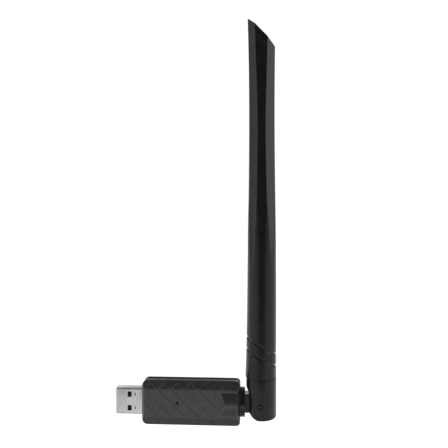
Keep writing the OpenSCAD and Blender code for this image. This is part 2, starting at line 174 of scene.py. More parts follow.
def prism(name, outline, y0, y1):
    """A closed solid: an (x, z) outline carried straight along Y from y0 to y1."""
    outline = np.asarray(outline, float)
    n = len(outline)
    sheet = [np.column_stack([outline[:, 0], np.full(n, y), outline[:, 1]]) for y in (y0, y1)]
    faces = grid_quads(2, n, ring=True).tolist()
    faces += [list(range(n)), list(range(n, 2 * n))[::-1]]
    return new_piece(name, np.vstack(sheet), faces)


def lathe_x(name, profile, turns=128):
    """A closed solid of revolution: (x, radius) points swept round the X axis."""
    profile = np.asarray(profile, float)
    t = np.linspace(0, 2 * np.pi, turns, endpoint=False)
    x = np.repeat(profile[:, :1], turns, axis=1)
    y = profile[:, 1:] * np.cos(t)
    z = profile[:, 1:] * np.sin(t)
    points = np.stack([x, y, z], axis=-1).reshape(-1, 3)
    return new_piece(name, points, grid_quads(len(profile), turns, ring=True))


def lathe_z(name, profile, x_axis, turns=160):
    """A closed solid of revolution: (radius, z) points swept round an upright axis."""
    profile = np.asarray(profile, float)
    t = np.linspace(0, 2 * np.pi, turns, endpoint=False)
    x = x_axis + profile[:, :1] * np.cos(t)
    y = profile[:, :1] * np.sin(t)
    z = np.repeat(profile[:, 1:], turns, axis=1)
    points = np.stack([x, y, z], axis=-1).reshape(-1, 3)
    return new_piece(name, points, grid_quads(len(profile), turns, ring=True))


def arc(centre, radius, start, stop, steps):
    """Points of a circular arc between two angles in degrees."""
    t = np.radians(np.linspace(start, stop, steps))
    return np.column_stack([centre[0] + radius * np.cos(t), centre[1] + radius * np.sin(t)])


def rounded_rectangle(half_a, half_b, radius, steps, centre=(0.0, 0.0)):
    """Points round a rectangle in (a, b) whose corners are quarter circles."""
    corners = [arc((centre[0] + side_a * (half_a - radius), centre[1] + side_b * (half_b - radius)),
                   radius, start, start + 90, steps)
               for side_a, side_b, start in ((1, 1, 0), (-1, 1, 90), (-1, -1, 180), (1, -1, 270))]
    return np.vstack(corners)


def smooth_min(a, b, k):
    """The smaller of two heights, with the crease between them rounded over a width k."""
    h = np.clip(0.5 + 0.5 * (b - a) / k, 0, 1)
    return b + (a - b) * h - k * h * (1 - h)


def smooth_max(a, b, k):
    """The larger of two heights, rounded in the same way."""
    return -smooth_min(-a, -b, k)


def smooth_step(a, b, x):
    """0 below a, 1 above b, and an S-shaped ramp between."""
    t = np.clip((x - a) / (b - a), 0, 1)
    return t * t * (3 - 2 * t)


print("helpers ready")

# %% [markdown]
# ## The camera
# The view is from a little in front of the adapter and level with the middle of the
# antenna, so the body at the bottom is seen slightly from above. A level camera keeps
# the antenna's two edges upright, as a product shot does.

# %% Camera
camera_data = bpy.data.cameras.new("camera")
camera_data.lens = 40.56
camera_data.sensor_width = 36.0
camera_data.clip_start, camera_data.clip_end = 0.01, 20.0
camera = bpy.data.objects.new("camera", camera_data)
camera.location = (0.0509, -0.2324, 0.0817)
camera.rotation_euler = (math.radians(90.0), 0.0, math.radians(3.3))
bpy.context.scene.collection.objects.link(camera)
bpy.context.scene.camera = camera
print("camera at", tuple(round(v, 4) for v in camera.location))

# %% [markdown]
# ## The two body covers
# Each cover is a moulded tray: a flat main face, a broad bevel along each long side, a
# narrow one at each end, rounded corners, and the half-round hump over the swivel. It
# could be an extruded outline with bevelled edges, but the bevels, the hump and the
# raised lines all run into each other, and that is awkward to bevel. So the outer face
# is a height worked out for every point of the outline, as the smaller or larger of
# several simple heights with their creases rounded. These are the sizes it needs: the
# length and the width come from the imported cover, and the rest are in millimetres.

# %% Sizes of the body
_, high = cad_box("front_cover")
BODY_L = round(float(high[0]), 3)
HALF_W = round(float(high[2]), 3)
HALF_T = 4.3
CORNER = 2.7
REAR_CORNER = 2.0
FLAT_W = 6.45
FRONT_BAND = 3.1
BACK_BAND = 2.3
EDGE = 0.15
END_BEVEL = 1.0
SOFT_CREASE = 0.12
PARTING = -0.8
HUMP_R = 6.45
HUMP_X = (36.1, 37.9, 43.9, 44.4)
REAR = 44.6
BEARING = 43.0
WALL = 1.1
END_WALL = 1.2
INNER_CORNER = 1.8
CORE_X = (11.0, 34.0)
LABEL_X = 18.0
LABEL_CORE = (11.5, 4.2)
LABEL_CORNER = 1.0
LABEL_DEPTH = 0.1
LED_X = 16.5
LINE_PITCH = 6.2
LINE_STEP = LINE_PITCH / 52
LINE_HEIGHT = 0.095
LINE_WIDTH = 0.19
LINES_END = 35.0
print("body", BODY_L, "x", 2 * HALF_W, "x", 2 * HALF_T, "mm")

# %% [markdown]
# The outline is a rounded rectangle, and the distance to its edge steers the end bevel,
# the small fillet round the rim and the place where the raised lines fade out. The
# lines could be a bump in the finish, but they catch the light at the bevel's crease,
# so they are real ridges: a bell curve across each line, the same height on both
# families. The back has no lines, and has a shallow blank field for a label.

# %% Heights over the outline
def corner_radius(x):
    """The outline's corner radius: the rear corners are a little tighter."""
    return np.where(x > BODY_L / 2, REAR_CORNER, CORNER)


def half_width(x, length=BODY_L, width=HALF_W, corner=None, start=0.0):
    """Half width of a rounded rectangle at x: the full width, less a quarter circle at each end."""
    corner = corner_radius(x) if corner is None else corner
    d = np.clip(np.minimum(x - start, length - x), 0, corner)
    return width - corner + np.sqrt(np.maximum(corner**2 - (corner - d) ** 2, 0))


def edge_distance(x, z):
    """How far a point of the outline is from its edge, measured round the corners too."""
    corner = corner_radius(x)
    qx = np.abs(x - BODY_L / 2) - (BODY_L / 2 - corner)
    qz = np.abs(z) - (HALF_W - corner)
    outside = np.hypot(np.maximum(qx, 0), np.maximum(qz, 0))
    return corner - outside - np.minimum(np.maximum(qx, qz), 0)


def raised_lines(x, z):
    """Bell-shaped ridges where x + z or x - z is a whole number of pitches from the indicator's cell."""
    start = LED_X + LINE_PITCH / 2
    ridge = 0
    for way in (1, -1):
        turns = (x + way * z - start) / LINE_PITCH
        away = np.abs(turns - np.round(turns)) * LINE_PITCH / math.sqrt(2)
        ridge = np.maximum(ridge, np.exp(-((away / LINE_WIDTH) ** 2)))
    on_bevel = smooth_step(FLAT_W - 0.2, FLAT_W + 0.4, np.abs(z))
    end = LINES_END + 3.2 * on_bevel
    inside = smooth_step(0.25, 0.8, edge_distance(x, z))
    return LINE_HEIGHT * ridge * inside * (1 - smooth_step(end - 0.5, end + 0.5, x))


def hump_height(x, z):
    """A half-round of radius R(x), held under a slope that rises from its foot to its top."""
    foot, top, shoulder, end = HUMP_X
    radius = np.interp(x, [shoulder, end], [HUMP_R, HUMP_R - 0.4])
    radius = np.where((x < foot) | (x > end), 0, radius)
    slope = HALF_T - 0.05 + (x - foot) * (HUMP_R - HALF_T) / (top - foot)
    return smooth_min(np.sqrt(np.maximum(radius**2 - z**2, 0)), slope, 0.1)


def label_field(x, z):
    """1 inside a rounded rectangle on the back's main face and 0 outside it."""
    qx = np.abs(x - LABEL_X) - LABEL_CORE[0]
    qz = np.abs(z) - LABEL_CORE[1]
    away = np.hypot(np.maximum(qx, 0), np.maximum(qz, 0)) + np.minimum(np.maximum(qx, qz), 0)
    return 1 - smooth_step(-0.1, 0.1, away - LABEL_CORNER)


def cover_height(x, z, lined, band):
    """The main face, the side bevel and the end bevel, smaller of the three; then the hump."""
    side = HALF_T - (np.abs(z) - FLAT_W) * (HALF_T - band) / (HALF_W - FLAT_W)
    away = edge_distance(x, z)
    end = HALF_T - END_BEVEL + away
    flat = np.full_like(x, HALF_T)
    height = smooth_min(smooth_min(flat, side, SOFT_CREASE), end, SOFT_CREASE)
    if lined:
        height = height + raised_lines(x, z)
    else:
        height = height - LABEL_DEPTH * label_field(x, z)
    fillet = np.clip(away, 0, EDGE)
    height = height - (EDGE - np.sqrt(np.maximum(EDGE**2 - (EDGE - fillet) ** 2, 0)))
    return smooth_max(height, hump_height(x, z), 0.2)


print("height beside the middle:", cover_height(np.array([20.0]), np.array([8.0]), False, FRONT_BAND))

# %% [markdown]
# The outer face is a grid of rows along the body and columns across it. Its step is a
# whole share of the lines' pitch, so each ridge runs exactly along the grid's
# diagonals and stays clean. The grid's border is then carried down the side to the
# parting line, in under it and up the inside, and drawn together under the middle, so
# the tray is one closed skin with a real wall.


# %% Cover surface
def grid_lines(low, high, origin, fine):
    """Evenly stepped lines through an origin, with fine ones added at the two ends."""
    first = math.ceil((low + 0.34 - origin) / LINE_STEP)
    last = math.floor((high - 0.34 - origin) / LINE_STEP)
    steps = origin + LINE_STEP * np.arange(first, last + 1)
    return np.unique(np.concatenate([low + fine, steps, high - fine]))


def border(grid):
    """The outer points of a grid in order round it: first row, last column, and back."""
    return np.concatenate([grid[0, :-1], grid[:-1, -1], grid[-1, :0:-1], grid[:0:-1, 0]])


def cover(name, side, lined, rise, band):
    """One cover: its outer height field, then loops down the side, under the lip and up the inside.

    side is -1 for the front and 1 for the back, rise is the height at which it parts from
    the other cover, and band is the height at which its straight side meets the bevel.
    """
    fine = EDGE * (1 - np.cos(np.linspace(0, np.pi / 2, 5)))
    x = grid_lines(0.0, BODY_L, LED_X + LINE_PITCH / 2, fine)
    x = np.unique(np.concatenate([x, [HUMP_X[3] - 0.01, HUMP_X[3] + 0.01, HUMP_X[2]]]))
    across = grid_lines(-HALF_W, HALF_W, 0.0, fine) / HALF_W
    gx = np.repeat(x[:, None], len(across), axis=1)
    gz = half_width(gx) * across
    top = cover_height(gx, gz, lined, band)
    outer = np.stack([gx, top, gz], axis=-1)
    rim = border(outer)
    flat = rim[:, [0, 2]]
    level = np.ones(len(rim))
    core_x = np.clip(flat[:, 0], *CORE_X)
    inner_x = np.clip(flat[:, 0], END_WALL, BEARING)
    room = half_width(inner_x, BEARING, HALF_W - WALL, INNER_CORNER, END_WALL)
    inner_z = np.sign(flat[:, 1]) * np.minimum(np.abs(flat[:, 1]), room)
    ceiling, spring = HALF_T - WALL, band - 0.9
    loops = [np.column_stack([flat[:, 0], y * level, flat[:, 1]]) for y in (band * 0.5, rise + 0.12)]
    lip = flat + (np.column_stack([core_x, 0 * core_x]) - flat) * 0.008
    loops.append(np.column_stack([lip[:, 0], rise * level, lip[:, 1]]))
    loops.append(np.column_stack([inner_x, rise * level, inner_z]))
    loops.append(np.column_stack([inner_x, spring * level, inner_z]))
    for share in (0.25, 0.62, 1.0):
        vault = min(ceiling, spring + 2.6 * share)
        loops.append(np.column_stack([inner_x + (core_x - inner_x) * share, vault * level,
                                      inner_z * (1 - share)]))
    under = np.stack(loops)
    rows, cols = gx.shape
    points = np.concatenate([outer.reshape(-1, 3), rim, under.reshape(-1, 3)])
    faces = np.vstack([grid_quads(rows, cols),
                       grid_quads(len(loops) + 1, len(rim), ring=True, first=rows * cols)])
    points[:, 1] *= side
    piece = new_piece(name, points, faces)
    print(name, len(piece.data.polygons), "faces")
    return piece


front_shell = cover("front_shell", -1, True, -PARTING, FRONT_BAND)
back_shell = cover("back_shell", 1, False, PARTING, BACK_BAND)

# %% [markdown]
# Three openings go through the covers' ends: the slot that the plug stands in, the
# bore that the swivel's journal turns in, and the shallow round seat for its collar.
# These are clean cuts through a thick wall, so each is a closed solid taken away.


# %% Openings in the covers
BORE_R = 4.05
SEAT_R = 6.8
COVER_SHARP = 38


def rounded_box_x(name, x0, x1, half_y, half_z, radius):
    """A closed bar along X whose section is a rounded rectangle."""
    section = rounded_rectangle(half_z, half_y, radius, 7)
    sheets = [np.column_stack([np.full(len(section), x), section[:, 1], section[:, 0]])
              for x in (x0, x1)]
    n = len(section)
    faces = grid_quads(2, n, ring=True).tolist() + [list(range(n)), list(range(n, 2 * n))]
    return new_piece(name, np.vstack(sheets), faces)


for shell in (front_shell, back_shell):
    slot = rounded_box_x("slot_tool", -1.0, 1.7, 2.3, 6.05, 0.6)
    bore = lathe_x("bore_tool", [(42, 0), (42, BORE_R), (46, BORE_R), (46, 0)], turns=96)
    seat = lathe_x("seat_tool", [(REAR, 0), (REAR, SEAT_R), (46, SEAT_R), (46, 0)])
    cut(shell, slot, bore, seat)
    tidy_mesh(shell, COVER_SHARP)
    print(shell.name, "after the cuts:", len(shell.data.polygons), "faces")

# %% [markdown]
# The indicator is a small diamond of smoked plastic that stands a little below the face
# in a diamond hole of the front cover, with a narrow dark gap round it. Its face is a
# dome over a square turned by an eighth of a turn, so one grid makes the face, and the
# grid's border is carried back for the sides.


# %% Indicator
HOLE_HALF = 1.08
GEM_HALF = 0.8


def diamond(half):
    """Corners of a diamond in (x, z) about the indicator's middle."""
    return [(LED_X + half, 0), (LED_X, half), (LED_X - half, 0), (LED_X, -half)]


def domed_diamond(name, half, y_face, y_back, rise, steps=21):
    """Face height: y_face less the rise times (1 - a^4)(1 - b^4), a and b along the sides."""
    a = np.linspace(-1, 1, steps)
    ga, gb = np.meshgrid(a, a, indexing="ij")
    x = LED_X + half * (ga - gb) / 2
    z = half * (ga + gb) / 2
    y = y_face - rise * (1 - ga**4) * (1 - gb**4)
    face = np.stack([x, y, z], axis=-1)
    rim = border(face)
    back = np.column_stack([rim[:, 0], np.full(len(rim), y_back), rim[:, 2]])
    middle = np.column_stack([np.full(len(rim), LED_X), np.full(len(rim), y_back), np.zeros(len(rim))])
    points = np.vstack([face.reshape(-1, 3), rim, back, middle])
    faces = np.vstack([grid_quads(steps, steps),
                       grid_quads(3, len(rim), ring=True, first=steps * steps)])
    return new_piece(name, points, faces, sharp=40)


cut(front_shell, prism("window_tool", diamond(HOLE_HALF), -6, -2))
tidy_mesh(front_shell, COVER_SHARP)
indicator_gem = domed_diamond("indicator_gem", GEM_HALF, -HALF_T + 0.3, -0.6, 0.16)
print("indicator:", len(indicator_gem.data.polygons), "faces")

# %% [markdown]
# ## The plug
# The plug's shell is a strip of plated steel folded into a flat tube. A section of
# rounded corners is carried along X, in at the mouth where the metal is turned in, and
# back along the inside, which makes a tube with a real wall. The latch windows, the
# small slits and the seam of the fold are cut out of it.

# %% Plug shell
PLUG = dict(half_y=2.25, half_z=6.0, corner=0.6, wall=0.3, mouth=-12.4, tail=6.0)
WINDOW_X, WINDOW_Z = -6.0, 3.15
SLIT_X = -3.4
SEAM_HALF = 0.03


def plug_section(inset):
    """Rounded rectangle in (y, z), drawn in by the inset, its corners a little tighter inside."""
    return rounded_rectangle(PLUG["half_y"] - inset, PLUG["half_z"] - inset,
                             PLUG["corner"] - 0.8 * inset, 9)


def plug_tube(name):
    """Sections at (x, inset) stations: out along the skin, round the mouth, in along the bore."""
    m, t, w = PLUG["mouth"], PLUG["tail"], PLUG["wall"]
    stations = [(t, 0), (0.0, 0), (-4.0, 0), (-8.0, 0), (m + 0.5, 0), (m + 0.2, 0.03), (m + 0.07, 0.08),
                (m, 0.17), (m, 0.24), (m + 0.06, 0.32), (m + 0.3, 0.33), (m + 0.6, w), (-4.0, w), (t, w)]
    around = len(plug_section(0))
    sheets = [np.column_stack([np.full(around, x), plug_section(inset)]) for x, inset in stations]
    points = np.vstack(sheets + sheets[:1])
    return new_piece(name, points, grid_quads(len(stations) + 1, around, ring=True), sharp=50)


def rounded_bar_y(name, x, z, half_x, half_z, y0, y1, radius=0.15):
    """A closed bar along Y whose section is a rounded rectangle in (x, z)."""
    return prism(name, rounded_rectangle(half_x, half_z, radius, 5, (x, z)), y0, y1)


plug_shell = plug_tube("plug_shell")
for z in (-WINDOW_Z, WINDOW_Z):
    cut(plug_shell, rounded_bar_y("window_tool", WINDOW_X, z, 0.95, 1.25, -4, 4),
        rounded_bar_y("slit_tool", SLIT_X, z + 0.1, 0.22, 0.7, -4, 0, 0.2))
seam = [(-13, SEAM_HALF), (-13, -SEAM_HALF), (-1.6, -SEAM_HALF), (-1.6, SEAM_HALF)]
cut(plug_shell, prism("seam_tool", seam, 2.13, 3))
shade(plug_shell, 45)
print("plug shell:", len(plug_shell.data.polygons), "faces")

# %% [markdown]
# Inside the plug, a nylon tongue carries four contacts. The tongue is a block with
# rounded edges and a groove for each contact. Each contact is a thin gilded strip
# carried along a path that runs flat from the body and then rises in a small spring
# bow near the mouth, with its end tucked down into the tongue.

# %% Tongue and contacts
CONTACT_Z = (-3.5, -1.0, 1.0, 3.5)


def rounded_block(name, low, high, width=0.18, segments=3):
    """A box between two corners with its edges rounded."""
    (x0, y0, z0), (x1, y1, z1) = low, high
    block = prism(name, [(x0, z0), (x1, z0), (x1, z1), (x0, z1)], y0, y1)
    round_edges(block, width, segments)
    return block


plug_tongue = rounded_block("plug_tongue", (-11.6, -1.9, -5.6), (5.95, 0.0, 5.6), 0.3)
combine(plug_tongue, rounded_block("plug_block", (0.05, -1.9, -5.6), (5.95, 1.9, 5.6), 0.3), "UNION")
for z in CONTACT_Z:
    groove = [(-11.3, z - 0.56), (8, z - 0.56), (8, z + 0.56), (-11.3, z + 0.56)]
    cut(plug_tongue, prism("groove_tool", groove, -0.32, 0.24))


def contact_springs(name):
    """A path y(x) that is level, bows up near the mouth and dips; a flat section rides on it."""
    x = np.concatenate([np.linspace(7.8, -6.5, 12), np.linspace(-6.8, -11.2, 40)])
    bow = 0.42 * np.exp(-(((x + 9.7) / 0.95) ** 2))
    dip = -0.26 * smooth_step(-10.5, -11.2, x)
    y = 0.02 + bow + dip
    slope = np.gradient(y, x)
    normal = np.column_stack([-slope, np.ones_like(x)]) / np.hypot(slope, 1)[:, None]
    chamfer, half, thick = 0.06, 0.48, 0.16
    section = np.array([(-half, chamfer), (-half + chamfer, 0), (half - chamfer, 0), (half, chamfer),
                        (half, thick - chamfer), (half - chamfer, thick),
                        (-half + chamfer, thick), (-half, thick - chamfer)])
    points, faces, start = [], [], 0
    rows, cols = len(x), len(section)
    for z in CONTACT_Z:
        px = x[:, None] + normal[:, :1] * section[None, :, 1]
        py = y[:, None] + normal[:, 1:] * section[None, :, 1]
        pz = z + np.repeat(section[None, :, 0], rows, axis=0)
        points.append(np.stack([px, py, pz], axis=-1).reshape(-1, 3))
        faces += grid_quads(rows, cols, ring=True, first=start).tolist()
        last = start + (rows - 1) * cols
        faces += [list(range(start, start + cols)), list(range(last, last + cols))]
        start += rows * cols
    return new_piece(name, np.vstack(points), faces, sharp=35)


contacts = contact_springs("plug_contacts")
print("tongue:", len(plug_tongue.data.polygons), "faces; contacts:", len(contacts.data.polygons))

# %% [markdown]
# ## The swivel neck
# The neck is one moulding: a flange and journal held between the covers, the round
# collar that shows behind the body, and a flat tongue with a rounded end that the
# knuckle folds about. Its round part is a profile swept about the X axis, and the
# tongue is an outline carried across the adapter, joined to it as a solid.

# %% Swivel neck
COLLAR_R = 6.6
COLLAR_X = (44.7, 47.2)
JOURNAL_R = 4.0
FLANGE_R = 5.1
PIN_X = 54.0
PIN_BORE_R = 1.3
TONGUE_R = 4.2
TONGUE_HALF = 2.9
NOTCH_HALF = 1.1


def neck_profile():
    """Radius along X: flange, groove for the friction ring, journal, and collar with soft rims."""
    start, end = COLLAR_X
    front_rim = arc((start + 0.35, COLLAR_R - 0.35), 0.35, 180, 90, 7)
    back_rim = arc((end - 0.16, COLLAR_R - 0.16), 0.16, 90, 0, 6)
    flange = [(41.7, 0), (41.7, FLANGE_R - 0.15), (41.85, FLANGE_R), (42.75, FLANGE_R),
              (42.9, FLANGE_R - 0.15), (42.9, JOURNAL_R)]
    ring_groove = [(43.25, JOURNAL_R), (43.25, 2.98), (44.35, 2.98), (44.35, JOURNAL_R)]
    return np.vstack([flange, ring_groove, [(start, JOURNAL_R)], front_rim, back_rim, [(end, 0)]])


def tongue_outline(radius):
    """A bar from the collar that ends in a half circle about the fold pin."""
    return np.vstack([[(46.5, -radius)], arc((PIN_X, 0), radius, -90, 90, 41), [(46.5, radius)]])


swivel_collar = lathe_x("swivel_collar", neck_profile(), turns=144)
tongue = prism("tongue", tongue_outline(TONGUE_R), -TONGUE_HALF, TONGUE_HALF)
combine(tongue, lathe_x("round_tool", [(46, 0), (46, 4.95), (60, 4.95), (60, 0)]), "INTERSECT")
notch = [(50.4, -NOTCH_HALF), (60, -NOTCH_HALF), (60, 6), (50.4, 6)]
cut(tongue, prism("notch_tool", notch, -NOTCH_HALF, NOTCH_HALF))
round_edges(tongue, 0.22, 3, 40)
combine(swivel_collar, tongue, "UNION")
cut(swivel_collar, lathe_x("cable_tool", [(41, 0), (41, 1.0), (51.5, 1.0), (51.5, 0)], turns=48),
    prism("pin_tool", arc((PIN_X, 0), PIN_BORE_R, 0, 352.5, 48), -4, 4))
combine(swivel_collar, rounded_block("stop_tab", (41.1, -4.8, -0.45), (41.8, -3.4, 0.45), 0.1), "UNION")
print("neck:", len(swivel_collar.data.polygons), "faces")

# %% [markdown]
# ## The knuckle and its pins
# The knuckle is a round post with a softly rounded foot. Seen from the side its lower
# corner is an arc about the fold pin, a flat is cut on the body's side so that it
# clears the collar, and a deep slot between two ears takes the tongue. It is a profile
# swept about the antenna's axis, met with the side view's outline, and then slotted
# and bored.

# %% Knuckle
AXIS_X = 54.6
KNUCKLE_R = 6.88
KNUCKLE_H = 11.7
FOOT_Z = -6.6
FOOT_ROUND = 0.9
EAR_R = 6.0
EAR_FLAT = 4.7
SPIGOT_R = 5.3
PIN_RECESS_R = 1.31


def knuckle_profile():
    """Radius against height: flat foot, quarter-round rim, straight side, rounded shoulder, spigot."""
    foot = arc((KNUCKLE_R - FOOT_ROUND, FOOT_Z + FOOT_ROUND), FOOT_ROUND, -90, 0, 15)
    shoulder = arc((KNUCKLE_R - 0.14, KNUCKLE_H - 0.14), 0.14, 0, 90, 6)
    spigot = [(SPIGOT_R, KNUCKLE_H), (SPIGOT_R, 17.4), (SPIGOT_R - 0.3, 17.7), (0, 17.7)]
    return np.vstack([[(0, FOOT_Z)], foot, [(KNUCKLE_R, 0), (KNUCKLE_R, 6)], shoulder, spigot])


def ear_outline():
    """Side view: an arc round under the pin, a flat beside it, and a slope up to the full width."""
    off = 0.5
    out = EAR_FLAT + off
    start = math.degrees(math.atan2(-math.sqrt(EAR_R**2 - out**2), -out))
    lower = arc((PIN_X + off, FOOT_Z + EAR_R), EAR_R, start, -90, 25)
    return np.vstack([lower, [(PIN_X + 9, FOOT_Z), (PIN_X + 9, 20), (PIN_X - 9, 20), (PIN_X - 9, 7.4),
                              (PIN_X - 6.1, 7.4), (PIN_X - EAR_FLAT, 5.1)]])


def slot_outline(radius):
    """The tongue's room at every fold: a circle about the pin, open towards the body and below."""
    round_end = arc((PIN_X, 0), radius, 0, 90, 25)
    return np.vstack([round_end, [(PIN_X - 12, radius), (PIN_X - 12, -12), (PIN_X + radius, -12)]])


knuckle_fork = lathe_z("knuckle_fork", knuckle_profile(), AXIS_X)
combine(knuckle_fork, prism("ear_tool", ear_outline(), -9, 9), "INTERSECT")
round_edges(knuckle_fork, 0.28, 3, 38)
cut(knuckle_fork, prism("slot_tool", slot_outline(TONGUE_R + 0.3), -3.0, 3.0))
for y0, y1 in ((-8, -2), (2, 8)):
    cut(knuckle_fork, prism("pin_tool", arc((PIN_X, 0), PIN_RECESS_R, 0, 352.5, 48), y0, y1))
cut(knuckle_fork, lathe_z("cable_tool", [(0, 1), (1.0, 1), (1.0, 20), (0, 20)], PIN_X, 48))
print("knuckle:", len(knuckle_fork.data.polygons), "faces")

# %% [markdown]
# Two stub pins sit in the ears. Each is a turned pin with a shallow dome on its head,
# a little below the ear's face, so the hinge shows as a small round button.


# %% Hinge pins
HEAD_R = 1.25


def stub_pins(name):
    """Radius along Y from the inner end to the domed head, mirrored for the other ear."""
    across = np.linspace(HEAD_R, 0, 12)
    head = np.column_stack([6.72 - 0.3 * (across / HEAD_R) ** 2, across])
    shank = [(1.3, 0), (1.3, 1.05), (1.5, 1.24), (5.0, 1.24), (5.1, 1.27), (6.34, 1.27)]
    profile = np.vstack([shank, head])
    around = 64
    t = np.linspace(0, 2 * np.pi, around, endpoint=False)
    points, faces = [], []
    for side in (-1, 1):
        x = PIN_X + profile[:, 1:] * np.cos(t)
        z = profile[:, 1:] * np.sin(t)
        y = np.repeat(side * profile[:, :1], around, axis=1)
        first = len(points) * len(profile) * around
        faces.append(grid_quads(len(profile), around, ring=True, first=first))
        points.append(np.stack([x, y, z], axis=-1).reshape(-1, 3))
    return new_piece(name, np.vstack(points), np.vstack(faces), sharp=35)


pin_heads = stub_pins("pin_heads")
print("pins:", len(pin_heads.data.polygons), "faces")

# %% [markdown]
# ## The antenna's sleeve
# The sleeve is round at its foot and turns by degrees into a blade: from two fifths of
# the way up, a flat on each broad side and one on each shoulder grow out of the round.
# It ends in a flat slanting tip. Stacked and bridged sections could make it too, but
# their edges would have to be placed by hand. Here, for each height and each direction
# from the axis, the surface is as far out as the nearest of the round skin and the
# flats, so the flats' edges form by themselves. Two slanting grooves ring the foot.

# %% Sleeve surface
SLEEVE_Z0 = 11.85
SLEEVE_TIP = 176.2
TIP_X = (48.44, 60.8)
TIP_DROP = 12.9
FLATS_START = 75.0
FLATS_OUT = 6.3
BROAD_TAPER = 0.02865
SHOULDER_TAPER = 0.0284
SHOULDER_END = 4.74
HEIGHTS = np.array([12.0, 27.4, 55.9, 75.0, 92.7, 111.0, 129.5, 147.9, 165.0, 175.5])
HALF_WIDTHS = np.array([7.05, 6.8, 6.6, 6.42, 6.17, 5.96, 5.84, 5.91, 6.12, 6.29])
CENTRES = np.array([54.4, 54.66, 54.83, 54.93, 54.93, 54.92, 54.9, 54.9, 54.85, 54.72])
RADIUS_CURVE = np.polynomial.Polynomial.fit(HEIGHTS, HALF_WIDTHS, 5)
CENTRE_CURVE = np.polynomial.Polynomial.fit(HEIGHTS, CENTRES, 5)


def sleeve_reach(angle, z):
    """How far out the skin is: the least of the round radius and d / cos(turn) of each flat."""
    reach = RADIUS_CURVE(z)
    broad = FLATS_OUT - (z - FLATS_START) * BROAD_TAPER
    shoulder = FLATS_OUT - (z - FLATS_START) * SHOULDER_TAPER
    shoulder = smooth_max(shoulder, np.full_like(z, SHOULDER_END), 0.25)
    far = shoulder - 0.3 * smooth_step(FLATS_START, 110, z)
    for turn, away in ((90, broad), (-90, broad), (45, far), (135, shoulder),
                       (-45, far), (-135, shoulder)):
        facing = np.cos(angle - math.radians(turn))
        flat = np.where(facing > 0.15, away / np.maximum(facing, 0.15), 99)
        reach = smooth_min(reach, flat, 0.05)
    return reach


def tip_height(x):
    """The slanting tip: a flat face that falls with x, from the high end to the low end."""
    return SLEEVE_TIP - (x - TIP_X[0]) * TIP_DROP / (TIP_X[1] - TIP_X[0])


def on_sleeve(angle, z, inset=0.0):
    """A point of the skin, or of the bore when drawn in by the inset."""
    reach = sleeve_reach(angle, z) - inset
    return np.stack([CENTRE_CURVE(z) + reach * np.cos(angle), reach * np.sin(angle), z], axis=-1)


print("sleeve radius at foot, waist and tip:", [round(float(RADIUS_CURVE(v)), 2) for v in (12, 130, 176)])

# %% [markdown]
# The rows of the sleeve's grid lean with the grooves near the foot and with the tip at
# the top, so that both features follow the grid. A groove is a dip of the skin across
# a few rows, deepest at the two narrow sides, and the tip is closed by rings that round
# its rim and then shrink to the middle of the slanting face.

# %% Sleeve mesh
GROOVES = (21.1, 26.4)
GROOVE_SLOPE = math.tan(math.radians(30))
GROOVE_DEPTH = 0.36
GROOVE_HALF = 0.8
SLEEVE_WALL = 1.1
TIP_WALL = 1.6
FINE_TOP = 44.0
RIM = 0.14
TIP_RIM = 0.3


def sleeve_rows(angle):
    """Heights and groove depths of each row: straight blends between leaning curves."""
    lean = -GROOVE_SLOPE * 6.6 * np.cos(angle)
    across = np.linspace(-1, 1, 13)
    dip = GROOVE_DEPTH * np.maximum(0, np.cos(across * np.pi / 2)) ** 1.5
    rows, depth = [], []

    def blend_rows(low, high, count):
        for share in np.linspace(0, 1, count, endpoint=False)[1:]:
            rows.append(low + (high - low) * share)
            depth.append(0.0)

    low = np.full_like(angle, SLEEVE_Z0 + RIM)
    for z in GROOVES:
        blend_rows(low, z + lean - GROOVE_HALF - 0.05, 14)
        rows.extend([z + lean + GROOVE_HALF * a for a in across])
        depth.extend(dip)
        low = z + lean + GROOVE_HALF + 0.05
    blend_rows(low, np.full_like(angle, FINE_TOP), 24)
    high = np.full_like(angle, 165.0)
    for _ in range(12):
        high = tip_height(on_sleeve(angle, high)[:, 0]) - TIP_RIM
    blend_rows(np.full_like(angle, FINE_TOP - 0.5), high, 190)
    rows.append(high)
    depth.append(0.0)
    return np.array(rows), np.array(depth)


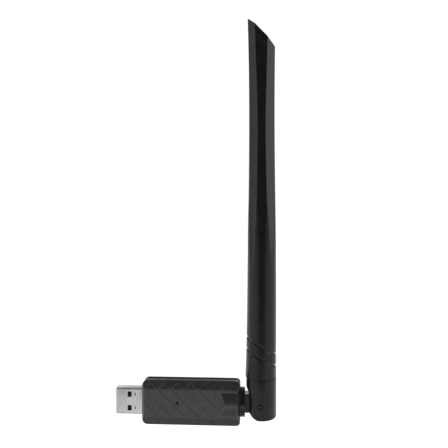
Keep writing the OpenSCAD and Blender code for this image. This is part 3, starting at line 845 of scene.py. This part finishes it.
def blade_mesh(name, turns=256):
    """Foot rim, leaning rows with grooves, rounded tip rim and its closing rings, then the bore."""
    angle = np.linspace(0, 2 * np.pi, turns, endpoint=False)
    z, depth = sleeve_rows(angle)
    angles = np.repeat(angle[None, :], len(z), axis=0)
    skin = on_sleeve(angles, z, depth[:, None] * (0.5 + 0.5 * np.abs(np.cos(angles))))
    foot = [on_sleeve(angle, np.full(turns, SLEEVE_Z0 + up), inset) for inset, up in
            ((RIM, 0.0), (0.04, 0.04), (0.0, RIM))]
    rings = []
    for turn in np.radians([22.5, 45, 67.5, 90]):
        point = on_sleeve(angle, z[-1], TIP_RIM * (1 - math.cos(turn)))
        point[:, 2] = tip_height(point[:, 0]) - TIP_RIM * (1 - math.sin(turn))
        rings.append(point)
    middle = np.array([float(CENTRE_CURVE(169.0)) + 0.2, 0.0])
    last = rings[-1]
    for share in (0.12, 0.3, 0.5, 0.7, 0.88, 1.0):
        point = last.copy()
        point[:, :2] += (middle - last[:, :2]) * share
        point[:, 2] = tip_height(point[:, 0])
        rings.append(point)
    bore = [on_sleeve(angle, np.full(turns, SLEEVE_Z0), 1.5)]
    bore += [on_sleeve(angle, np.full(turns, v), 1.35) for v in (12.5, 18.2)]
    bore += [on_sleeve(angle, np.full(turns, v), SLEEVE_WALL) for v in (18.6, 40, 75, 100, 130, 150)]
    high = tip_height(on_sleeve(angle, z[-1], SLEEVE_WALL)[:, 0]) - TIP_WALL
    bore.append(on_sleeve(angle, high, SLEEVE_WALL))
    roof = bore[-1].copy()
    roof[:, :2] = middle
    roof[:, 2] = tip_height(middle[0]) - TIP_WALL
    bore.append(roof)
    body = np.concatenate([np.stack(bore[::-1]), np.stack(foot), skin, np.stack(rings)])
    faces = grid_quads(len(body), turns, ring=True)
    return new_piece(name, body.reshape(-1, 3), faces, sharp=13)


blade_sleeve = blade_mesh("blade_sleeve")
print("sleeve:", len(blade_sleeve.data.polygons), "faces")

# %% [markdown]
# The lead crosses the hinge in the tongue's notch in a quarter turn. It is a round
# section carried along that arc.


# %% Lead across the hinge
def lead_bend(name, centre=(51.0, 3.0), bend=3.0, radius=0.7, steps=28, around=24):
    """A circle of the lead's radius carried along a quarter circle from level to upright."""
    turn = np.linspace(-np.pi / 2, 0, steps)[:, None]
    t = np.linspace(0, 2 * np.pi, around, endpoint=False)[None, :]
    out = bend + radius * np.cos(t)
    x = centre[0] + out * np.cos(turn)
    z = centre[1] + out * np.sin(turn)
    y = np.repeat(radius * np.sin(t), steps, axis=0)
    points = np.stack([x, y, z], axis=-1).reshape(-1, 3)
    faces = grid_quads(steps, around, ring=True).tolist()
    faces += [list(range(around)), list(range((steps - 1) * around, steps * around))]
    return new_piece(name, points, faces, sharp=50)


hinge_lead = lead_bend("hinge_lead")
print("lead bend:", len(hinge_lead.data.polygons), "faces")

# %% [markdown]
# ## Riding on the bodies
# Every made piece stands for its imported node, and all but the lead's bend move with
# that node's body. The lead's bend is set in place and rides on no body.

# %% Bodies, slots and nodes
PIECES = (
    (front_shell, "housing", "front_cover", "body_front"),
    (back_shell, "housing", "back_cover", "body_back"),
    (indicator_gem, "housing", "indicator_window", "window"),
    (plug_shell, "housing", "usb_shell", "plug_steel"),
    (plug_tongue, "housing", "usb_insulator", "insulator"),
    (contacts, "housing", "usb_contacts", "contact_gold"),
    (swivel_collar, "neck", "swivel_neck", "neck_black"),
    (knuckle_fork, "antenna", "hinge_knuckle", "antenna_black"),
    (pin_heads, "antenna", "hinge_pins", "pin_black"),
    (blade_sleeve, "antenna", "antenna_sleeve", "antenna_black"),
)
for piece, body, node, slot_name in PIECES:
    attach(piece, body)
    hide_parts(node)
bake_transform(hinge_lead)
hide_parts("coax_bend")
print("pieces riding:", len(PIECES) + 1)

# %% [markdown]
# ## Finishes
# Every finish starts from one shader and a few noises read in the object's own
# coordinates, so a pattern stays put when a piece moves. The fine noise gives grain to
# the bump, the broad one varies colour and gloss, and the mesh's own sharpness finds
# the edges, which get a paler colour: a painted highlight along them that also stands
# for wear where handling polishes plastic and brightens plated steel.


# %% Shader helpers
def new_material(name):
    """An empty node material, its shader and its tree."""
    material = bpy.data.materials.new(name)
    material.use_nodes = True
    tree = material.node_tree
    shader = tree.nodes["Principled BSDF"]
    return material, tree, shader


def noise(tree, scale, detail=3.0, stretch=(1, 1, 1), roughness=0.5):
    """Noise on the object's coordinates, in features per metre, stretched along the axes."""
    place = tree.nodes.new("ShaderNodeTexCoord")
    mapping = tree.nodes.new("ShaderNodeMapping")
    mapping.inputs["Scale"].default_value = stretch
    pattern = tree.nodes.new("ShaderNodeTexNoise")
    pattern.inputs["Scale"].default_value = scale
    pattern.inputs["Detail"].default_value = detail
    pattern.inputs["Roughness"].default_value = roughness
    tree.links.new(place.outputs["Object"], mapping.inputs["Vector"])
    tree.links.new(mapping.outputs["Vector"], pattern.inputs["Vector"])
    return pattern.outputs["Fac"]


def remap(tree, value, low, high, to_low, to_high):
    """A value's span moved to another span, and held at its ends."""
    node = tree.nodes.new("ShaderNodeMapRange")
    node.inputs["From Min"].default_value = low
    node.inputs["From Max"].default_value = high
    node.inputs["To Min"].default_value = to_low
    node.inputs["To Max"].default_value = to_high
    tree.links.new(value, node.inputs["Value"])
    return node.outputs["Result"]


def blend_colours(tree, factor, first, second):
    """A colour between two, or between a linked colour and a plain one."""
    node = tree.nodes.new("ShaderNodeMix")
    node.data_type = "RGBA"
    tree.links.new(factor, node.inputs["Factor"])
    for socket, colour in ((node.inputs["A"], first), (node.inputs["B"], second)):
        if isinstance(colour, tuple):
            socket.default_value = (*colour, 1.0)
        else:
            tree.links.new(colour, socket)
    return node.outputs["Result"]


def arithmetic(tree, kind, first, second):
    """One sum of two values, either of which may be a plain number."""
    node = tree.nodes.new("ShaderNodeMath")
    node.operation = kind
    for socket, value in zip(node.inputs, (first, second)):
        if isinstance(value, (int, float)):
            socket.default_value = value
        else:
            tree.links.new(value, socket)
    return node.outputs["Value"]


def bump(tree, shader, height, depth):
    """Grain in the shading normal, depth in metres."""
    node = tree.nodes.new("ShaderNodeBump")
    node.inputs["Strength"].default_value = 1.0
    node.inputs["Distance"].default_value = depth
    tree.links.new(height, node.inputs["Height"])
    tree.links.new(node.outputs["Normal"], shader.inputs["Normal"])


def sharpness(tree, low, high):
    """0 on flat skin and 1 on raised edges: the mask for the painted edge highlight."""
    geometry = tree.nodes.new("ShaderNodeNewGeometry")
    return remap(tree, geometry.outputs["Pointiness"], low, high, 0.0, 1.0)


print("shader helpers ready")

# %% [markdown]
# Most of the adapter is moulded plastic. The front cover has a fine spark-eroded
# texture, the antenna and the neck are smoother and glossier, and the back is a plain
# matt black. One function covers them all: two tones a little apart, a grain that
# stirs both the gloss and the bump, and an optional paler tone on sharp edges, a painted
# edge highlight that also stands for rubbing.


# %% Moulded plastics
def moulded(name, deep, pale, rough, spread, grain, depth, specular=0.5, edge_wear_and_highlight=None):
    """Moulded plastic: broad tone changes, fine grain in the bump and gloss, paler edges as painted
    highlight and wear.
    """
    material, tree, shader = new_material(name)
    broad = noise(tree, 210, 4)
    fine = noise(tree, grain, 2, roughness=0.6)
    colour = blend_colours(tree, remap(tree, broad, 0.3, 0.7, 0, 1), deep, pale)
    # Painted highlight: sharp edges get the paler colour, standing for light caught on them as well as
    # for rubbing.
    if edge_wear_and_highlight:
        colour = blend_colours(tree, sharpness(tree, 0.505, 0.56), colour, edge_wear_and_highlight)
    tree.links.new(colour, shader.inputs["Base Color"])
    gloss = arithmetic(tree, "ADD", remap(tree, fine, 0.3, 0.7, rough - spread, rough + spread),
                       remap(tree, broad, 0.3, 0.7, -0.03, 0.03))
    tree.links.new(gloss, shader.inputs["Roughness"])
    bump(tree, shader, fine, depth)
    shader.inputs["Specular IOR Level"].default_value = specular
    return material


# The last colour of a plastic, where given, is its paler edge colour: a painted edge highlight that also
# stands for wear.
FINISHES = {
    "body_front": moulded("textured charcoal plastic", (0.0235, 0.0235, 0.0248), (0.030, 0.030, 0.0315),
                          0.4, 0.08, 5200, 1.4e-5, 0.78, (0.09, 0.09, 0.094)),
    "body_back": moulded("textured black plastic", (0.004, 0.004, 0.0042), (0.007, 0.007, 0.0072),
                         0.5, 0.08, 5200, 1.6e-5, 0.14, (0.02, 0.02, 0.0205)),
    "window": moulded("smoked window plastic", (0.010, 0.010, 0.011), (0.015, 0.015, 0.016),
                      0.16, 0.04, 2600, 2e-6, 0.5),
    "insulator": moulded("black nylon", (0.005, 0.005, 0.005), (0.009, 0.009, 0.009),
                         0.45, 0.08, 3800, 8e-6, 0.2),
    "neck_black": moulded("satin black plastic", (0.007, 0.007, 0.0075), (0.011, 0.011, 0.0115),
                          0.27, 0.05, 4300, 4e-6, 0.36, (0.022, 0.022, 0.023)),
    "antenna_black": moulded("smooth black plastic", (0.0105, 0.0105, 0.011), (0.0145, 0.0145, 0.015),
                             0.27, 0.04, 4300, 3e-6, 0.25, (0.018, 0.018, 0.019)),
    "coax_jacket": moulded("cable jacket", (0.012, 0.012, 0.013), (0.02, 0.02, 0.021),
                           0.38, 0.06, 3200, 8e-6, 0.4),
    "chip": moulded("chip epoxy", (0.012, 0.012, 0.013), (0.024, 0.024, 0.026),
                    0.55, 0.08, 6000, 1e-5, 0.4),
    "inductor": moulded("pressed ferrite", (0.045, 0.047, 0.05), (0.08, 0.083, 0.088),
                        0.6, 0.1, 5200, 1.4e-5, 0.4),
    "resistor": moulded("glazed resistor", (0.016, 0.017, 0.022), (0.032, 0.034, 0.042),
                        0.3, 0.06, 5200, 5e-6, 0.5),
    "capacitor": moulded("fired ceramic", (0.30, 0.20, 0.11), (0.44, 0.32, 0.19),
                         0.42, 0.08, 5200, 6e-6, 0.5),
    "ring_rubber": moulded("soft ring rubber", (0.010, 0.010, 0.010), (0.018, 0.018, 0.018),
                           0.62, 0.08, 4300, 1e-5, 0.35),
    "led": moulded("cloudy resin", (0.55, 0.53, 0.44), (0.75, 0.73, 0.62),
                   0.22, 0.05, 2600, 3e-6, 0.5),
}
print("plastic finishes:", len(FINISHES))

# %% [markdown]
# The plug, the contacts, the cans and the pins are metal. Rolled and drawn metal has a
# grain along one way, so the noise is stretched that way before it stirs the gloss and
# the bump, and a second, broad noise clouds the plating.


# %% Metals
def plated(name, dull, bright, rough, spread, stretch, scale, depth, edge_wear_and_highlight=None):
    """Metal: a drawn grain along the part, cloudy plating, and brighter edges as painted highlight and
    wear.
    """
    material, tree, shader = new_material(name)
    drawn = noise(tree, scale, 4, stretch, 0.65)
    cloud = noise(tree, 420, 4)
    colour = blend_colours(tree, remap(tree, cloud, 0.3, 0.7, 0, 1), dull, bright)
    # Painted highlight: sharp edges get the brighter colour, standing for light caught on them as well as
    # for rubbing.
    if edge_wear_and_highlight:
        colour = blend_colours(tree, sharpness(tree, 0.51, 0.6), colour, edge_wear_and_highlight)
    tree.links.new(colour, shader.inputs["Base Color"])
    shader.inputs["Metallic"].default_value = 1.0
    gloss = arithmetic(tree, "ADD", remap(tree, drawn, 0.3, 0.7, rough - spread, rough + spread),
                       remap(tree, cloud, 0.3, 0.7, -0.04, 0.04))
    tree.links.new(gloss, shader.inputs["Roughness"])
    bump(tree, shader, drawn, depth)
    return material


# The last colour of a metal, where given, is its brighter edge colour: a painted edge highlight that also
# stands for wear.
FINISHES.update({
    "plug_steel": plated("nickel-plated steel", (0.43, 0.43, 0.435), (0.51, 0.51, 0.515),
                         0.34, 0.07, (0.12, 1, 1), 5200, 2.5e-6, (0.8, 0.8, 0.8)),
    "contact_gold": plated("gold flash", (0.78, 0.58, 0.26), (0.88, 0.70, 0.36),
                           0.24, 0.05, (0.2, 1, 1), 4200, 1.5e-6, (0.9, 0.78, 0.5)),
    "can_steel": plated("tinned can", (0.5, 0.51, 0.52), (0.62, 0.63, 0.64),
                        0.3, 0.06, (1, 1, 0.15), 4200, 2e-6),
    "crystal_can": plated("nickel lid", (0.6, 0.6, 0.58), (0.7, 0.7, 0.68),
                          0.2, 0.05, (0.3, 1, 1), 4200, 1e-6),
    "solder": plated("solder", (0.62, 0.63, 0.64), (0.78, 0.79, 0.8), 0.22, 0.07, (1, 1, 1), 2600, 6e-6),
    "copper": plated("bare copper", (0.62, 0.32, 0.18), (0.78, 0.46, 0.28), 0.28, 0.06,
                     (1, 1, 0.2), 4200, 2e-6),
    "pin_black": plated("blackened steel", (0.034, 0.034, 0.034), (0.05, 0.05, 0.051), 0.42, 0.06,
                        (1, 1, 1), 4200, 3e-6, (0.12, 0.12, 0.12)),
})
print("finishes with the metals:", len(FINISHES))

# %% [markdown]
# The boards are woven glass under lacquer, and the pads are open-cell foam. The weave is
# two crossed families of waves multiplied together, and the foam is a cell pattern whose
# colour is darker in its open cells' hollows: painted shade.


# %% Board laminates and foam
def laminate(name, dark, light, pitch, rough, depth):
    """Glass-fibre board: two crossed families of threads under its lacquer."""
    material, tree, shader = new_material(name)
    place = tree.nodes.new("ShaderNodeTexCoord")
    waves = []
    for axis in ("X", "Z"):
        wave = tree.nodes.new("ShaderNodeTexWave")
        wave.bands_direction = axis
        wave.inputs["Scale"].default_value = pitch
        wave.inputs["Distortion"].default_value = 0.6
        tree.links.new(place.outputs["Object"], wave.inputs["Vector"])
        waves.append(wave.outputs["Fac"])
    weave = arithmetic(tree, "MULTIPLY", waves[0], waves[1])
    cloud = noise(tree, 500, 3)
    mixed = arithmetic(tree, "ADD", arithmetic(tree, "MULTIPLY", weave, 0.6),
                       arithmetic(tree, "MULTIPLY", cloud, 0.5))
    tree.links.new(blend_colours(tree, mixed, dark, light), shader.inputs["Base Color"])
    tree.links.new(remap(tree, cloud, 0.3, 0.7, rough - 0.05, rough + 0.08), shader.inputs["Roughness"])
    bump(tree, shader, weave, depth)
    return material


def foam_with_painted_shade(name, dark, light):
    """Open-cell foam: cells from a cell pattern, darker in their hollows as painted shade."""
    material, tree, shader = new_material(name)
    place = tree.nodes.new("ShaderNodeTexCoord")
    cells = tree.nodes.new("ShaderNodeTexVoronoi")
    cells.inputs["Scale"].default_value = 2400
    tree.links.new(place.outputs["Object"], cells.inputs["Vector"])
    # Painted shade: the colour is darkest near each cell's middle, in its hollow.
    rim = remap(tree, cells.outputs["Distance"], 0.1, 0.6, 0, 1)
    tree.links.new(blend_colours(tree, rim, dark, light), shader.inputs["Base Color"])
    tree.links.new(remap(tree, rim, 0, 1, 0.95, 0.8), shader.inputs["Roughness"])
    bump(tree, shader, rim, 6e-5)
    return material


FINISHES["board"] = laminate("green solder mask", (0.008, 0.05, 0.02), (0.02, 0.1, 0.045),
                             900, 0.3, 3e-6)
FINISHES["strip"] = laminate("bare laminate", (0.42, 0.34, 0.16), (0.6, 0.52, 0.3), 900, 0.38, 4e-6)
FINISHES["foam"] = foam_with_painted_shade("grey foam", (0.03, 0.03, 0.033), (0.13, 0.13, 0.14))

for piece, _, _, slot_name in PIECES:
    piece.data.materials.clear()
    piece.data.materials.append(FINISHES[slot_name])
hinge_lead.data.materials.clear()
hinge_lead.data.materials.append(FINISHES["coax_jacket"])

NODE_SLOTS = {entry["node"]: entry["material_slot"] for entry in frame["record"]["subparts"]}
for node, piece in frame["nodes"].items():
    if not piece.hide_render:
        piece.data.materials.clear()
        piece.data.materials.append(FINISHES[NODE_SLOTS[node]])
print("finishes:", len(FINISHES))

# %% [markdown]
# ## Stage and light
# The adapter hangs over a plain pale floor. Black plastic shows what is round it more
# than its own colour, so the stage is mostly about reflections: dark boards in front
# and above keep the middle of the blade black, and a grey one keeps the floor's glow
# off the undersides. The camera doesn't see the boards.


# %% Stage
def flat_panel(name, corners):
    """A four-cornered sheet, corners in millimetres."""
    mesh = bpy.data.meshes.new(name)
    mesh.from_pydata([tuple(c * MM for c in corner) for corner in corners], [], [(0, 1, 2, 3)])
    panel = bpy.data.objects.new(name, mesh)
    bpy.context.scene.collection.objects.link(panel)
    return panel


def plain_finish(name, colour, rough, glow=0.0):
    """A plain stage finish with a very faint unevenness, and a glow if asked."""
    material, tree, shader = new_material(name)
    tone = noise(tree, 3, 2)
    pale = tuple(min(1.0, c * 1.03) for c in colour)
    tree.links.new(blend_colours(tree, tone, colour, pale), shader.inputs["Base Color"])
    shader.inputs["Roughness"].default_value = rough
    shader.inputs["Specular IOR Level"].default_value = 0.1
    shader.inputs["Emission Color"].default_value = (1, 1, 1, 1)
    shader.inputs["Emission Strength"].default_value = glow
    return material


def level_sheet(x0, x1, y0, y1, z):
    """Corners of a level rectangle."""
    return [(x0, y0, z), (x1, y0, z), (x1, y1, z), (x0, y1, z)]


floor = flat_panel("floor", level_sheet(-6000, 6000, -6000, 6000, -200))
floor.data.materials.append(plain_finish("pale floor", (0.86, 0.86, 0.86), 0.9, 0.8))
black_board = plain_finish("black board", (0.012, 0.012, 0.012), 0.95)
grey_board = plain_finish("grey board", (0.3, 0.3, 0.3), 0.95, 0.25)
upright = [(-170, -420, -90), (270, -420, -90), (270, -420, 560), (-170, -420, 560)]
front_board = flat_panel("front_board", upright)
roof_board = flat_panel("roof_board", level_sheet(-260, 360, -420, 40, 560))
low_board = flat_panel("low_board", level_sheet(-160, 190, -220, 130, -190))
for board, finish in ((front_board, black_board), (roof_board, black_board), (low_board, grey_board)):
    board.data.materials.append(finish)
    board.visible_camera = False
print("boards:", front_board.name, roof_board.name, low_board.name)

# %% [markdown]
# Behind everything stands a white tent, a sphere that only the camera sees. A bright
# sky would show as well, but it would also wash out the black plastic, so the sky that
# lights the adapter is a dim one.


# %% Tent and sky
TENT_RADIUS = 9500
SKY = 0.35


def white_tent(radius, rings=24, around=48):
    """A half circle swept round the upright axis: a glowing sphere that lights nothing."""
    polar = np.linspace(0, np.pi, rings)
    half_circle = np.column_stack([radius * np.sin(polar), radius * np.cos(polar)])
    tent = lathe_z("white_tent", half_circle, 0.0, around)
    tent.data.materials.append(plain_finish("white tent", (0.0, 0.0, 0.0), 1.0, 1.02))
    for way in ("diffuse", "glossy", "transmission", "volume_scatter", "shadow"):
        setattr(tent, "visible_" + way, False)
    return tent


tent = white_tent(TENT_RADIUS)
world = bpy.data.worlds.new("pale sky")
world.use_nodes = True
world.node_tree.nodes["Background"].inputs["Color"].default_value = (1, 1, 1, 1)
world.node_tree.nodes["Background"].inputs["Strength"].default_value = SKY
bpy.context.scene.world = world
print("tent:", len(tent.data.polygons), "faces; sky strength:", SKY)

# %% [markdown]
# Four soft boxes do the lighting. A tall one stands at each side, so the antenna gets a
# grey strip on each side, and two low ones behind light the tops of the plug and the
# neck.


# %% Soft boxes
def soft_box(name, place, aim, width, height, power):
    """A rectangular lamp at a place, turned towards a point, both in millimetres."""
    lamp = bpy.data.lights.new(name, "AREA")
    lamp.shape = "RECTANGLE"
    lamp.size, lamp.size_y = width * MM, height * MM
    lamp.energy = power
    box = bpy.data.objects.new(name, lamp)
    box.location = [v * MM for v in place]
    away = np.array(place, float) - np.array(aim, float)
    flat = math.hypot(away[0], away[1])
    box.rotation_euler = (math.atan2(flat, away[2]), 0, math.atan2(away[0], -away[1]))
    bpy.context.scene.collection.objects.link(box)
    box.visible_camera = False
    return box


soft_box("right_box", (370, -60, 310), (54, -30, 310), 260, 500, 0.74)
soft_box("left_box", (-270, -90, 310), (54, 0, 310), 160, 500, 0.52)
soft_box("plug_back_box", (-195, 500, 185), (-6, 0, 6), 160, 150, 0.12)
soft_box("neck_back_box", (115, 500, 185), (54, 0, 4), 160, 150, 0.16)
bpy.context.scene.view_settings.view_transform = "Standard"
